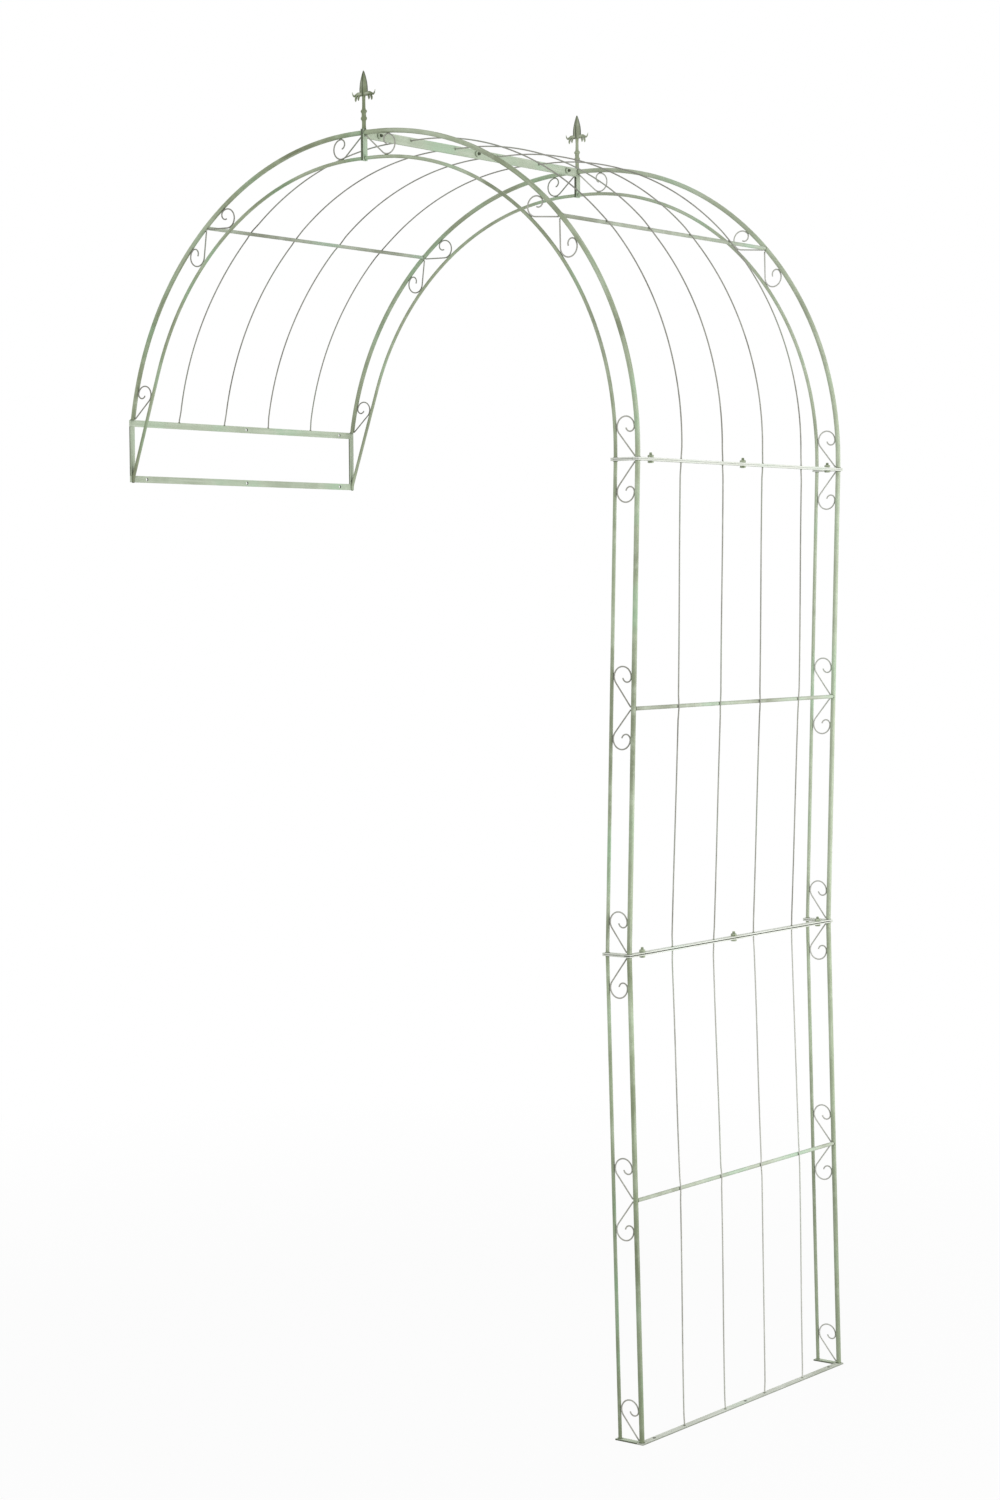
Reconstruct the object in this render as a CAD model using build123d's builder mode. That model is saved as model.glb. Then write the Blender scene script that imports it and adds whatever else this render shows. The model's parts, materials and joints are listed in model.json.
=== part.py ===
"""A wall-fixed garden arch: a trellis leg in two sections carries a round arch over to a frame on the wall.

Millimetres. The origin is the centre of the four corner holes of the wall frame, on the wall's face.
+X runs away from the wall to the leg, +Y from the front frame to the back frame, +Z up.

Four welded sections bolt together: the wall half of the arch, the leg half of the arch, the upper leg and
the lower leg. Each has a front and a back frame of an outer and an inner tube with scrolls between them,
a crossbar and four trellis wires from frame to frame, and flat bars at its ends that take the bolts.
"""
import os
from math import acos, asin, atan2, cos, degrees, hypot, radians, sin, sqrt, tan

from build123d import *

os.makedirs("parts", exist_ok=True)

# Overall sizes
DEPTH = 710.0  # between the centre planes of the front and back frames
BEND_RADIUS = 635.0  # of the outer tubes, on their centre line
CROWN_STRAIGHT = 16.0  # straight tube from the crown joint to the bend
FOOT_STRAIGHT = 24.0  # straight tube from the bend to the springing joint
FRAME_GAP = 50.0  # between the centre lines of an outer and an inner tube
UPPER_LEG_HEIGHT = 922.0  # from the springing joint to the middle joint
LOWER_LEG_HEIGHT = 918.0  # from the middle joint to the ground
LEG_BOW = 24.0  # how far the middle joint stands inward of the ends of the leg
WALL_BAR_SPACING = 117.0  # between the centre lines of the two wall bars

# Stock
OUTER_TUBE_DIA = 9.5
INNER_TUBE_DIA = 7.0
TUBE_WALL = 1.0
CROSSBAR_DIA = 7.5
WIRE_DIA = 2.8
BAR_WIDTH = 14.0
BAR_THICKNESS = 3.0
CROWN_BAR_HEIGHT = 18.0
POST_FOOT = 5.0  # of a crown post, below the inner tube's centre line

# Crossbars, trellis wires and scrolls
WALL_CROSSBAR_ANGLE = 40.4  # round the bend, from the crown
LEG_CROSSBAR_ANGLE = 46.8
WIRE_COUNT = 4
WIRE_BEND_RADIUS = 300.0  # of the slight bend in a leg's wire where it crosses the crossbar
SCROLL_START = 2.5  # along the outer tube, from a joint or crossbar to the scroll's welded end
SCROLL_REACH = 58.0  # along the outer tube, from a joint or crossbar to the middle of the curl
HOOK_RADIUS = 9.5  # of the small turn that ends a scroll
HOOK_TURN = 168.0
WELD_GAP = 0.2  # left between round stock that is welded side by side
WALL_CLEARANCE = 0.4  # from the wall's face to the nearest tube

# Bolts, nuts and holes
HOLE_DIA = 6.6
HOLE_INSET = 42.0  # from a frame's centre plane to the end holes of a bar
PEG_HOLE_INSET = 40.0  # the same, on the bar that stands on the ground
BOLT_DIA = 6.0
HEX_WIDTH = 10.0  # across the flats of bolt heads and nuts
HEAD_HEIGHT = 4.0
NUT_HEIGHT = 5.0
NUT_BORE_DIA = 6.2
THREAD_END = 4.5  # bolt beyond its nut

# Finials
FINIAL_FOOT_DIA = 7.8
FINIAL_FOOT_HEIGHT = 17.0
COLLAR_DIA = 12.2
COLLAR_HEIGHT = 6.5
COLLAR_EDGE = 1.5
NECK_DIA = 9.4
NECK_HEIGHT = 8.0
STEM_DIA = 5.8
STEM_HEIGHT = 26.0
SPEAR_HEIGHT = 50.0
SPEAR_WIDTH = 19.0
SPEAR_THICKNESS = 10.0
SPEAR_TIP = 1.0
SPEAR_SECTIONS = [(0.0, 0.85), (0.25, 1.0), (0.6, 0.75), (1.0, 0.0)]  # shares of the height and the width
ARM_DIA = 4.2
ARM_RISE = 5.0  # from the spear's base up to the arms
ARM_DROOP_RADIUS = 20.0  # of the arm as it leaves the stem
ARM_DROOP_ANGLE = 38.0
ARM_CURL_RADIUS = 10.0  # of the arm's upturned end
ARM_TIP_ANGLE = 75.0  # of the tip, above level
LOBE_DIA = 5.4
LOBE_RISE = 2.0  # from the spear's base up to the root of the lobes
LOBE_ANGLE = 28.0  # below level, where a lobe leaves the stem
LOBE_RADIUS = 17.0
LOBE_TURN = 52.0

# Levels and distances from the wall
half_depth = DEPTH / 2
sides = {"front": -half_depth, "back": half_depth}
outer_r, inner_r = OUTER_TUBE_DIA / 2, INNER_TUBE_DIA / 2
wire_r, crossbar_r = WIRE_DIA / 2, CROSSBAR_DIA / 2
half_bar = BAR_WIDTH / 2
upper_bar_z, lower_bar_z = WALL_BAR_SPACING / 2, -WALL_BAR_SPACING / 2
upper_bar_top, lower_bar_top = upper_bar_z + half_bar, lower_bar_z + half_bar
springing_z = lower_bar_z
middle_z = springing_z - UPPER_LEG_HEIGHT
ground_z = middle_z - LOWER_LEG_HEIGHT
bend_z = springing_z + FOOT_STRAIGHT
crown_z = bend_z + BEND_RADIUS
crown_top = crown_z + half_bar
crown_bolt_z = crown_top - CROWN_BAR_HEIGHT / 2
inner_bend_radius = BEND_RADIUS - FRAME_GAP
inner_crown_z = crown_z - FRAME_GAP

# The wall half's outer tube comes down onto the upper wall bar, just clear of the wall's face
outer_seat_x = outer_r + WALL_CLEARANCE
wall_bend_angle = acos((upper_bar_top - bend_z) / BEND_RADIUS)
wall_bend_x = outer_seat_x + BEND_RADIUS * sin(wall_bend_angle)
crown_x = wall_bend_x + CROWN_STRAIGHT
leg_bend_x = crown_x + CROWN_STRAIGHT
leg_x = leg_bend_x + BEND_RADIUS
middle_x = leg_x - LEG_BOW

# Its inner tube leaves the bend in a straight tail that ends on the face of the lower wall bar
seat_dx, seat_dz = wall_bend_x - BAR_THICKNESS, lower_bar_z - bend_z
seat_distance = hypot(seat_dx, seat_dz)
tail_angle = atan2(seat_dx, seat_dz) - acos(inner_bend_radius / seat_distance)
tail_length = sqrt(seat_distance**2 - inner_bend_radius**2)

# Where the bolts and the wires stand along a bar
hole_y = half_depth - HOLE_INSET
hole_places = [-hole_y, 0.0, hole_y]
wire_places = [-half_depth + DEPTH * k / (WIRE_COUNT + 1) for k in range(1, WIRE_COUNT + 1)]


def save(piece, name):
    """Label a finished piece and write its file."""
    piece.part.label = name
    export_step(piece.part, f"parts/{name}.step")


def side_plane(y):
    """The plane of a frame at a depth: its x is X, its y is Z."""
    return Plane.XZ.offset(-y)


def round_stock(path, diameter, wall=0.0, mode=Mode.ADD):
    """Run a rod, or a tube with a wall, along a path in the current part."""
    with BuildSketch(path ^ 0) as section:
        Circle(diameter / 2)
        if wall:
            Circle(diameter / 2 - wall, mode=Mode.SUBTRACT)
    sweep(sections=section.sketch, path=path, mode=mode)


def trim(cuts):
    """Cut the current part at planes, each with the side that stays."""
    for plane, keep in cuts:
        split(bisect_by=plane, keep=keep)


def flat_bar(x_range, y_range, z_range):
    """A piece of flat bar between limits, in the current part."""
    limits = (x_range, y_range, z_range)
    centre = [(low + high) / 2 for low, high in limits]
    with Locations(tuple(centre)):
        Box(*[high - low for low, high in limits])


def wall_outer_path(y):
    """Crown joint, straight, bend down past the top of the upper wall bar."""
    with BuildLine(side_plane(y)) as path:
        crown = Line((crown_x, crown_z), (wall_bend_x, crown_z))
        past_seat = outer_r / BEND_RADIUS
        JernArc(crown @ 1, (-1, 0), BEND_RADIUS, degrees(wall_bend_angle + past_seat))
    return path.wire()


def wall_inner_path(y):
    """Crown joint, straight, bend, and a straight tail past the face of the lower wall bar."""
    past_seat = INNER_TUBE_DIA * tan(tail_angle)
    with BuildLine(side_plane(y)) as path:
        crown = Line((crown_x, inner_crown_z), (wall_bend_x, inner_crown_z))
        bend = JernArc(crown @ 1, (-1, 0), inner_bend_radius, degrees(tail_angle))
        Line(bend @ 1, bend @ 1 + (bend % 1) * (tail_length + past_seat))
    return path.wire()


def leg_arch_path(y, inset):
    """Crown joint, straight, quarter bend, straight down to the springing joint."""
    with BuildLine(side_plane(y)) as path:
        Line((crown_x, crown_z - inset), (leg_bend_x, crown_z - inset))
        JernArc((leg_bend_x, crown_z - inset), (1, 0), BEND_RADIUS - inset, -90)
        Line((leg_x - inset, bend_z), (leg_x - inset, springing_z))
    return path.wire()


def post_path(y, inset, top, bottom):
    """A straight post between two joints, each given as (x, z) on the outer posts' centre line."""
    with BuildLine(side_plane(y)) as path:
        Line((top[0] - inset, top[1]), (bottom[0] - inset, bottom[1]))
    return path.wire()


def arch_wire_path(y, start, over, end):
    """A round trellis wire from bar to bar over the crossbar."""
    with BuildLine(side_plane(y)) as path:
        ThreePointArc(start, over, end)
    return path.wire()


def leg_wire_path(y, start, over, end):
    """A trellis wire in two straight runs with a slight bend where it passes over the crossbar."""
    with BuildLine(side_plane(y)) as path:
        FilletPolyline(start, over, end, radius=WIRE_BEND_RADIUS)
    return path.wire()


def step(point, angle, length):
    """The (x, z) point at a length along an angle, counted from +X towards +Z."""
    return point[0] + length * cos(radians(angle)), point[1] + length * sin(radians(angle))


def scroll_path(y, outer, inner, joint, way, inner_side):
    """A scroll: from the outer tube across to the inner one, round in a curl and back in a small hook.

    joint is a length along the outer tube's path, way is 1 or -1 for a scroll that runs on or back along it,
    and inner_side is 1 or -1 where the inner tube is left or right of that path.
    """
    side = inner_side * way

    def outer_place(length):
        point = outer.position_at(length, position_mode=PositionMode.LENGTH)
        along = outer.tangent_at(length, position_mode=PositionMode.LENGTH) * way
        return (point.X, point.Z), degrees(atan2(along.Z, along.X))

    seat = outer_r + wire_r + WELD_GAP
    root, root_heading = outer_place(joint + way * SCROLL_START)
    belly, belly_heading = outer_place(joint + way * SCROLL_REACH)
    gap = inner.distance_to(Vector(belly[0], y, belly[1]))
    curl_r = (gap - seat - inner_r - wire_r - WELD_GAP) / 2
    start = step(root, root_heading + side * 90, seat)
    centre = step(belly, belly_heading + side * 90, seat + curl_r)
    to_centre = hypot(centre[0] - start[0], centre[1] - start[1])
    heading = degrees(atan2(centre[1] - start[1], centre[0] - start[0]) + side * asin(curl_r / to_centre))
    touch = step(start, heading, sqrt(to_centre**2 - curl_r**2))
    curl_turn = (side * (heading - belly_heading) + 180) % 360
    leave = heading - side * curl_turn
    curl_end = step(centre, belly_heading - side * 90, curl_r)
    with BuildLine(side_plane(y)) as path:
        Line(start, touch)
        JernArc(touch, step((0, 0), heading, 1), curl_r, -side * curl_turn)
        JernArc(curl_end, step((0, 0), leave, 1), HOOK_RADIUS, -side * HOOK_TURN)
    return path.wire()


def add_tubes(section, outer_paths, inner_paths, outer_cuts, inner_cuts):
    """The four tubes of a section, each trimmed to the bars at its ends."""
    for side in sides:
        with BuildPart() as outer_tube:
            round_stock(outer_paths[side], OUTER_TUBE_DIA, TUBE_WALL)
            trim(outer_cuts)
        save(outer_tube, f"{section}_{side}_outer_tube")
        with BuildPart() as inner_tube:
            round_stock(inner_paths[side], INNER_TUBE_DIA, TUBE_WALL)
            trim(inner_cuts)
        save(inner_tube, f"{section}_{side}_inner_tube")


def add_crossbar(section, centre, outer_paths):
    """The rod between the outer tubes, with its ends shaped to their round sides."""
    with BuildPart() as crossbar:
        with BuildSketch(side_plane(-half_depth)):
            with Locations(centre):
                Circle(crossbar_r)
        extrude(amount=-DEPTH)
        for path in outer_paths.values():
            round_stock(path, OUTER_TUBE_DIA + 2 * WELD_GAP, mode=Mode.SUBTRACT)
    save(crossbar, f"{section}_crossbar")


def add_wires(section, wire_path, start, crossbar, outward_angle, end, cuts):
    """The trellis wires, which pass over the outer side of the crossbar."""
    over = step(crossbar, outward_angle, crossbar_r + wire_r + WELD_GAP)
    with BuildPart() as wires:
        for y in wire_places:
            round_stock(wire_path(y, start, over, end), WIRE_DIA)
        trim(cuts)
    save(wires, f"{section}_wires")


def add_scrolls(section, outer_paths, inner_paths, starts, inner_side):
    """The scrolls of the front and of the back frame. starts holds (joint, way) pairs."""
    for side, y in sides.items():
        outer, inner = outer_paths[side], inner_paths[side]
        with BuildPart() as scrolls:
            for joint, way in starts:
                round_stock(scroll_path(y, outer, inner, joint, way, inner_side), WIRE_DIA)
        save(scrolls, f"{section}_{side}_scrolls")


def add_level_bars(name, x, z_range, hole_inset):
    """A long bar with holes across the outer posts, and a return from it to each inner post."""
    end_hole_y = half_depth - hole_inset
    with BuildPart() as long_bar:
        flat_bar((x - half_bar, x + half_bar), (-half_depth - half_bar, half_depth + half_bar), z_range)
        with Locations(*[(x, y, sum(z_range) / 2) for y in (-end_hole_y, 0, end_hole_y)]):
            Cylinder(HOLE_DIA / 2, BAR_THICKNESS, mode=Mode.SUBTRACT)
    save(long_bar, f"{name}_bar")
    with BuildPart() as returns:
        for y in sides.values():
            x_range = (x - FRAME_GAP - half_bar, x - half_bar)
            flat_bar(x_range, (y - half_bar, y + half_bar), z_range)
    save(returns, f"{name}_returns")


def add_crown_bars(name, x_range):
    """A long upright bar with bolt holes at the crown, between two posts that take the tubes."""
    low, high = crown_top - CROWN_BAR_HEIGHT, crown_top
    with BuildPart() as long_bar:
        flat_bar(x_range, (-half_depth + half_bar, half_depth - half_bar), (low, high))
        with Locations(*[(sum(x_range) / 2, y, crown_bolt_z) for y in hole_places]):
            Cylinder(HOLE_DIA / 2, BAR_THICKNESS, rotation=(0, 90, 0), mode=Mode.SUBTRACT)
    save(long_bar, f"{name}_crown_bar")
    with BuildPart() as posts:
        for y in sides.values():
            flat_bar(x_range, (y - half_bar, y + half_bar), (inner_crown_z - POST_FOOT, high))
    save(posts, f"{name}_crown_posts")


def add_wall_bar(name, z):
    """A flat bar against the wall, with holes for the wall screws."""
    with BuildPart() as wall_bar:
        y_range = (-half_depth - half_bar, half_depth + half_bar)
        flat_bar((0, BAR_THICKNESS), y_range, (z - half_bar, z + half_bar))
        with Locations(*[(BAR_THICKNESS / 2, y, z) for y in hole_places]):
            Cylinder(HOLE_DIA / 2, BAR_THICKNESS, rotation=(0, 90, 0), mode=Mode.SUBTRACT)
    save(wall_bar, name)


def add_bolts(joint, planes):
    """The bolts and nuts of a joint. Each plane lies where its two bars meet, with its z towards the nut."""
    with BuildPart() as bolts:
        for plane in planes:
            with BuildSketch(plane.offset(-BAR_THICKNESS)):
                RegularPolygon(HEX_WIDTH / 2, 6, major_radius=False)
            extrude(amount=-HEAD_HEIGHT)
            with BuildSketch(plane.offset(-BAR_THICKNESS)):
                Circle(BOLT_DIA / 2)
            extrude(amount=2 * BAR_THICKNESS + NUT_HEIGHT + THREAD_END)
    save(bolts, f"{joint}_bolts")
    with BuildPart() as nuts:
        for plane in planes:
            with BuildSketch(plane.offset(BAR_THICKNESS)):
                RegularPolygon(HEX_WIDTH / 2, 6, major_radius=False)
                Circle(NUT_BORE_DIA / 2, mode=Mode.SUBTRACT)
            extrude(amount=NUT_HEIGHT)
    save(nuts, f"{joint}_nuts")


# Wall half of the arch
wall_outer = {side: wall_outer_path(y) for side, y in sides.items()}
wall_inner = {side: wall_inner_path(y) for side, y in sides.items()}
wall_crown_cut = (Plane.YZ.offset(crown_x - BAR_THICKNESS), Keep.BOTTOM)
upper_bar_cut = (Plane.XY.offset(upper_bar_top), Keep.TOP)
tail_cuts = [
    (Plane.YZ.offset(BAR_THICKNESS), Keep.TOP),
    (Plane.XY.offset(lower_bar_z - half_bar), Keep.TOP),
]
wall_crossbar = step((wall_bend_x, bend_z), 90 + WALL_CROSSBAR_ANGLE, BEND_RADIUS)
wall_crossbar_length = CROWN_STRAIGHT + BEND_RADIUS * radians(WALL_CROSSBAR_ANGLE)
wall_seat_length = CROWN_STRAIGHT + BEND_RADIUS * wall_bend_angle
wall_scroll_starts = [
    (BAR_THICKNESS, 1),
    (wall_crossbar_length, -1),
    (wall_crossbar_length, 1),
    (wall_seat_length, -1),
]
add_tubes(
    "wall_arch",
    wall_outer,
    wall_inner,
    [wall_crown_cut, upper_bar_cut],
    [wall_crown_cut, *tail_cuts],
)
add_crossbar("wall_arch", wall_crossbar, wall_outer)
add_wires(
    "wall_arch",
    arch_wire_path,
    (crown_x, crown_z),
    wall_crossbar,
    90 + WALL_CROSSBAR_ANGLE,
    (BAR_THICKNESS / 2, upper_bar_z),
    [wall_crown_cut, upper_bar_cut],
)
add_scrolls("wall_arch", wall_outer, wall_inner, wall_scroll_starts, 1)

# Frame on the wall
add_wall_bar("wall_upper_bar", upper_bar_z)
add_wall_bar("wall_lower_bar", lower_bar_z)
with BuildPart() as wall_uprights:
    for y in sides.values():
        flat_bar((0, BAR_THICKNESS), (y - half_bar, y + half_bar), (lower_bar_top, upper_bar_z - half_bar))
save(wall_uprights, "wall_uprights")

# Crown joint
add_crown_bars("wall_arch", (crown_x - BAR_THICKNESS, crown_x))
add_crown_bars("leg_arch", (crown_x, crown_x + BAR_THICKNESS))
crown_places = [(crown_x, y, crown_bolt_z) for y in hole_places]
add_bolts("crown", [Plane(place, x_dir=(0, 1, 0), z_dir=(1, 0, 0)) for place in crown_places])

# Leg half of the arch
leg_outer = {side: leg_arch_path(y, 0) for side, y in sides.items()}
leg_inner = {side: leg_arch_path(y, FRAME_GAP) for side, y in sides.items()}
leg_arch_cuts = [
    (Plane.YZ.offset(crown_x + BAR_THICKNESS), Keep.TOP),
    (Plane.XY.offset(springing_z + BAR_THICKNESS), Keep.TOP),
]
leg_crossbar = step((leg_bend_x, bend_z), 90 - LEG_CROSSBAR_ANGLE, BEND_RADIUS)
leg_crossbar_length = CROWN_STRAIGHT + BEND_RADIUS * radians(LEG_CROSSBAR_ANGLE)
leg_arch_length = CROWN_STRAIGHT + BEND_RADIUS * radians(90) + FOOT_STRAIGHT
leg_scroll_starts = [
    (BAR_THICKNESS, 1),
    (leg_crossbar_length, -1),
    (leg_crossbar_length, 1),
    (leg_arch_length - BAR_THICKNESS, -1),
]
add_tubes("leg_arch", leg_outer, leg_inner, leg_arch_cuts, leg_arch_cuts)
add_crossbar("leg_arch", leg_crossbar, leg_outer)
add_wires(
    "leg_arch",
    arch_wire_path,
    (crown_x, crown_z),
    leg_crossbar,
    90 - LEG_CROSSBAR_ANGLE,
    (leg_x, springing_z),
    leg_arch_cuts,
)
add_scrolls("leg_arch", leg_outer, leg_inner, leg_scroll_starts, -1)
add_level_bars("leg_arch_foot", leg_x, (springing_z, springing_z + BAR_THICKNESS), HOLE_INSET)

# Leg sections, each given by the (x, z) of its top and bottom and the inset of its bottom bar's holes
leg_sections = {
    "upper_leg": ((leg_x, springing_z), (middle_x, middle_z), HOLE_INSET),
    "lower_leg": ((middle_x, middle_z), (leg_x, ground_z), PEG_HOLE_INSET),
}
for section, (top, bottom, bottom_inset) in leg_sections.items():
    post_outer = {side: post_path(y, 0, top, bottom) for side, y in sides.items()}
    post_inner = {side: post_path(y, FRAME_GAP, top, bottom) for side, y in sides.items()}
    post_cuts = [
        (Plane.XY.offset(top[1] - BAR_THICKNESS), Keep.BOTTOM),
        (Plane.XY.offset(bottom[1] + BAR_THICKNESS), Keep.TOP),
    ]
    post_length = post_outer["front"].length
    post_angle = degrees(atan2(bottom[1] - top[1], bottom[0] - top[0]))
    post_crossbar = step(top, post_angle, post_length / 2)
    post_scroll_starts = [
        (BAR_THICKNESS, 1),
        (post_length / 2, -1),
        (post_length / 2, 1),
        (post_length - BAR_THICKNESS, -1),
    ]
    add_tubes(section, post_outer, post_inner, post_cuts, post_cuts)
    add_crossbar(section, post_crossbar, post_outer)
    add_wires(section, leg_wire_path, top, post_crossbar, post_angle + 90, bottom, post_cuts)
    add_scrolls(section, post_outer, post_inner, post_scroll_starts, -1)
    add_level_bars(f"{section}_top", top[0], (top[1] - BAR_THICKNESS, top[1]), HOLE_INSET)
    add_level_bars(f"{section}_bottom", bottom[0], (bottom[1], bottom[1] + BAR_THICKNESS), bottom_inset)

# Bolts of the springing and middle joints, with their nuts on top
for joint, x, z in (("springing", leg_x, springing_z), ("middle", middle_x, middle_z)):
    add_bolts(joint, [Plane((x, y, z)) for y in hole_places])

# Finials on the crown posts
collar_1_z = FINIAL_FOOT_HEIGHT
neck_z = collar_1_z + COLLAR_HEIGHT
collar_2_z = neck_z + NECK_HEIGHT
stem_z = collar_2_z + COLLAR_HEIGHT
spear_z = stem_z + STEM_HEIGHT
arm_z = spear_z + ARM_RISE
lobe_z = spear_z + LOBE_RISE


def collar_outline(z):
    """The outline of a collar with chamfered rims."""
    radius = COLLAR_DIA / 2
    rim = radius - COLLAR_EDGE
    top = z + COLLAR_HEIGHT
    return [(rim, z), (radius, z + COLLAR_EDGE), (radius, top - COLLAR_EDGE), (rim, top)]


for side, y in sides.items():
    with BuildPart() as finial:
        base = Plane((crown_x, y, crown_top))
        upright = Plane((crown_x, y, crown_top), x_dir=(1, 0, 0), z_dir=(0, -1, 0))
        stem_outline = [
            (0, 0),
            (FINIAL_FOOT_DIA / 2, 0),
            (FINIAL_FOOT_DIA / 2, collar_1_z),
            *collar_outline(collar_1_z),
            (NECK_DIA / 2, neck_z),
            (NECK_DIA / 2, collar_2_z),
            *collar_outline(collar_2_z),
            (STEM_DIA / 2, stem_z),
            (STEM_DIA / 2, spear_z + SPEAR_TIP),
            (0, spear_z + SPEAR_TIP),
        ]
        with BuildSketch(upright):
            with BuildLine():
                Polyline(*stem_outline, close=True)
            make_face()
        revolve(axis=Axis((crown_x, y, crown_top), (0, 0, 1)))
        for height, share in SPEAR_SECTIONS:
            width = SPEAR_TIP + share * (SPEAR_WIDTH - SPEAR_TIP)
            thickness = SPEAR_TIP + share * (SPEAR_THICKNESS - SPEAR_TIP)
            corners = [(width / 2, 0), (0, thickness / 2), (-width / 2, 0), (0, -thickness / 2)]
            with BuildSketch(base.offset(spear_z + height * SPEAR_HEIGHT)):
                Polygon(*corners, align=None)
        loft()
        with BuildLine(upright) as arms:
            for hand in (-1, 1):
                droop_end = step((0, arm_z - ARM_DROOP_RADIUS), 90 - hand * ARM_DROOP_ANGLE, ARM_DROOP_RADIUS)
                droop_way = step((0, 0), 90 - hand * (90 + ARM_DROOP_ANGLE), 1)
                JernArc((0, arm_z), (hand, 0), ARM_DROOP_RADIUS, -hand * ARM_DROOP_ANGLE)
                JernArc(droop_end, droop_way, ARM_CURL_RADIUS, hand * (ARM_DROOP_ANGLE + ARM_TIP_ANGLE))
        round_stock(arms.wire(), ARM_DIA)
        for hand in (-1, 1):
            lobe_way = step((0, 0), 90 - hand * (90 + LOBE_ANGLE), 1)
            with BuildLine(upright) as lobe:
                JernArc((0, lobe_z), lobe_way, LOBE_RADIUS, -hand * LOBE_TURN)
            round_stock(lobe.wire(), LOBE_DIA)
    save(finial, f"{side}_finial")
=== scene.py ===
"""The looks of the wall-fixed garden arch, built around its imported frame. Metres, in the part's own frame.

+X runs away from the wall to the leg, +Y from the front frame to the back frame, +Z up.
"""
import json
import random
from math import ceil, cos, hypot, inf, pi, radians, sin, tau

import bmesh
import bpy
import numpy as np
from mathutils import Matrix, Vector
from mathutils.bvhtree import BVHTree


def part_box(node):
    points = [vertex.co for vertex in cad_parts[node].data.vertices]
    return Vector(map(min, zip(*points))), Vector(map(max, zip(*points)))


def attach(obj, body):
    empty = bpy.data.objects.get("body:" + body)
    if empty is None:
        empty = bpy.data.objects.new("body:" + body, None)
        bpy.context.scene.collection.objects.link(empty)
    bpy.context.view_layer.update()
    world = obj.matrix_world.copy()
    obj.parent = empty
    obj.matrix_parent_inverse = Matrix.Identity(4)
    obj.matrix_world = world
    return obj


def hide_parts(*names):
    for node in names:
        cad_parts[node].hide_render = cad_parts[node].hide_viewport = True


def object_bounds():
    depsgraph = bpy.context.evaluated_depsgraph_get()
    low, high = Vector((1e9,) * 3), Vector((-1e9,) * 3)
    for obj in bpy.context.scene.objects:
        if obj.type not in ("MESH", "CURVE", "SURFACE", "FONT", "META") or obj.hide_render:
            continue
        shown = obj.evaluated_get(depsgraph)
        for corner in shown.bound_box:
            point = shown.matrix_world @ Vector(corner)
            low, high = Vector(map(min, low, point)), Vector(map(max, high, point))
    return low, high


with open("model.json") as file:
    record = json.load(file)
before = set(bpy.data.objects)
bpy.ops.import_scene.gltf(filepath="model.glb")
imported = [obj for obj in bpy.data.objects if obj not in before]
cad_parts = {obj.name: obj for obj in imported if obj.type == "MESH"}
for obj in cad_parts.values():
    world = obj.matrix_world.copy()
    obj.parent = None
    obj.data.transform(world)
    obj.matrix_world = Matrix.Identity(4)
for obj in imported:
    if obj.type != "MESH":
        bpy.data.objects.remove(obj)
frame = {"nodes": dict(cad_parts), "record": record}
cad_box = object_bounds()
nodes = frame["nodes"]
MM = 0.001
GROUND = cad_box[0].z
HALF_DEPTH = cad_box[1].y
MIDDLE = (cad_box[0] + cad_box[1]) / 2

# Camera, matched to the photograph
IMAGE_HEIGHT_PX = 1500
FOCAL_PX = 2941
SENSOR_MM = 36.0
CAMERA_PLACE = Vector((4.4117, -4.815, -0.3045))
CAMERA_AZIMUTH = 37.62  # degrees that it looks to the left of +Y
CAMERA_PITCH = -3.05
CAMERA_ROLL = -0.40
CAMERA_REACH = 100.0  # how far it sees

# Light and floor
WHITE = (1.0, 1.0, 1.0, 1.0)
AMBIENT_LIGHT = 0.62
FLOOR_WHITE_SHARE = 0.95  # of the white that the floor shows the camera near the object
FLOOR_WHITE_FROM = 0.9  # distance from the object's middle where the floor starts to turn all white
FLOOR_WHITE_BY = 3.2
FLOOR_TONE = 0.6  # of the light that falls on it, what the floor throws back at the object
FLOOR_ROUGHNESS = 0.9
FLOOR_HALF_SIZE = 30.0
LAMPS = {
    # name: place, size in metres, watts
    "key_light": ((3.4, 0.6, -0.7), 2.0, 36.0),
    "fill_light": ((1.4, -5.6, 0.2), 3.5, 65.0),
}

# Parts of the arch
SECTIONS = ("wall_arch", "leg_arch", "upper_leg", "lower_leg")
LEG_SECTIONS = SECTIONS[1:]
SIDES = ("front", "back")
JOINTS = ("crown", "springing", "middle")
BAR_ENDINGS = ("_bar", "_returns", "_posts", "_uprights")
WEAR_SEED = 7  # of the random bends and lumps


def srgb(red, green, blue):
    """A colour of 0 to 255 as the linear values that a shader takes."""
    shares = [c / 255 for c in (red, green, blue)]
    linear = [c / 12.92 if c <= 0.04045 else ((c + 0.055) / 1.055) ** 2.4 for c in shares]
    return (*linear, 1.0)


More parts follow.
